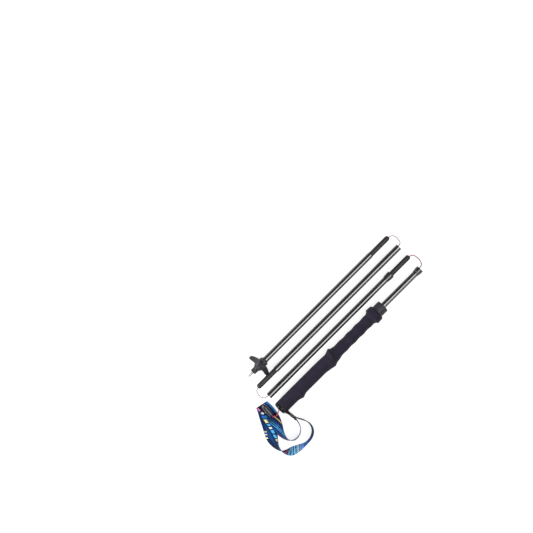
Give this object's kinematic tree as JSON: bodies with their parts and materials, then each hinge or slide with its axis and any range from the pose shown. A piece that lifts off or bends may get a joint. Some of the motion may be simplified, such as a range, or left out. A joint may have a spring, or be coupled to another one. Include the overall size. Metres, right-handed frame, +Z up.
{
  "type": "folding ski pole",
  "caption": "Folding ski pole, folded flat: foam grip with a wrist strap and a pull toggle at the cap, hinged tube sections on a cord, plug ferrules, a lobed snow basket and a hard tip.",
  "frame": {"origin": "on the ground under the middle of the folded pole's footprint", "axes": "+Z up from the ground it lies on, +Y along the shafts from the grip's cap towards the handle's open end, +X from the shafts towards the wrist strap"},
  "size_m": [0.1714, 0.3958, 0.0391],
  "materials": {
    "tube": "gloss black lacquer on aluminium tube",
    "collar": "satin moulded black",
    "cap": "gloss moulded black",
    "steel": "plain",
    "grip_foam": "fine closed-cell foam, matt",
    "grip_collar": "satin",
    "strap_tab": "dense black webbing",
    "webbing": "woven, striped in blues",
    "cord": "braided",
    "loop_cord": "braided, pale",
    "toggle": "gloss moulded black",
    "ferrule": "dark anodised, satin",
    "nose": "satin",
    "tip_holder": "satin",
    "carbide": "ground",
    "basket": "moulded, slightly grained"
  },
  "bodies": {
    "handle": {"handle_shaft": "tube", "handle_collar": "collar", "top_cap": "cap", "cord_eyelet": "steel", "strap_pin": "steel", "upper_grip": "grip_foam", "lower_grip": "grip_foam", "grip_end_collar": "grip_collar", "strap_stub": "strap_tab", "strap_keeper": "strap_tab", "wrist_strap": "webbing"},
    "pull": {"inner_cord": "cord", "cord_crimp": "steel", "pull_cord": "cord", "pull_toggle": "toggle"},
    "handle_link": {"handle_loop": "loop_cord"},
    "upper_section": {"upper_shaft": "tube", "upper_collar": "collar", "upper_ferrule": "ferrule", "upper_nose": "nose", "upper_cord": "cord"},
    "upper_link": {"upper_loop": "loop_cord"},
    "middle_section": {"middle_shaft": "tube", "middle_ferrule": "ferrule", "middle_nose": "nose", "middle_cord": "cord"},
    "middle_link": {"middle_loop": "loop_cord"},
    "lower_section": {"lower_shaft": "tube", "lower_ferrule": "ferrule", "lower_nose": "nose", "lower_cord": "cord", "cord_anchor": "steel", "tip_holder": "tip_holder", "carbide_tip": "carbide", "basket": "basket", "basket_ring": "basket"}
  },
  "joints": [
    {"name": "upper_fold", "type": "hinge", "parent": "handle", "child": "handle_link", "pos_m": [-0.0029, 0.19295, 0.015], "axis": [0, 0, -1], "range_deg": [0, 180], "deforming": ["handle_loop"]},
    {"name": "upper_plug", "type": "slide", "parent": "handle_link", "child": "upper_section", "axis": [0, 1, 0], "range_m": [0, 0.0427]},
    {"name": "middle_fold", "type": "hinge", "parent": "upper_section", "child": "upper_link", "pos_m": [-0.0284, -0.13855, 0.015], "axis": [0, 0, 1], "range_deg": [0, 180], "deforming": ["upper_loop"]},
    {"name": "middle_plug", "type": "slide", "parent": "upper_link", "child": "middle_section", "axis": [0, -1, 0], "range_m": [0, 0.0427]},
    {"name": "lower_fold", "type": "hinge", "parent": "middle_section", "child": "middle_link", "pos_m": [-0.0519, 0.19245, 0.015], "axis": [0, 0, -1], "range_deg": [0, 180], "deforming": ["middle_loop"]},
    {"name": "lower_plug", "type": "slide", "parent": "middle_link", "child": "lower_section", "axis": [0, 1, 0], "range_m": [0, 0.0427]},
    {"name": "cord_pull", "type": "slide", "parent": "handle", "child": "pull", "axis": [0, -1, 0], "range_m": [0, 0.1281]}
  ],
  "couplings": [
    {"joint": "middle_fold", "follows": "upper_fold", "ratio": 1},
    {"joint": "lower_fold", "follows": "upper_fold", "ratio": 1},
    {"joint": "upper_plug", "follows": "cord_pull", "ratio": 0.33333},
    {"joint": "middle_plug", "follows": "cord_pull", "ratio": 0.33333},
    {"joint": "lower_plug", "follows": "cord_pull", "ratio": 0.33333}
  ]
}
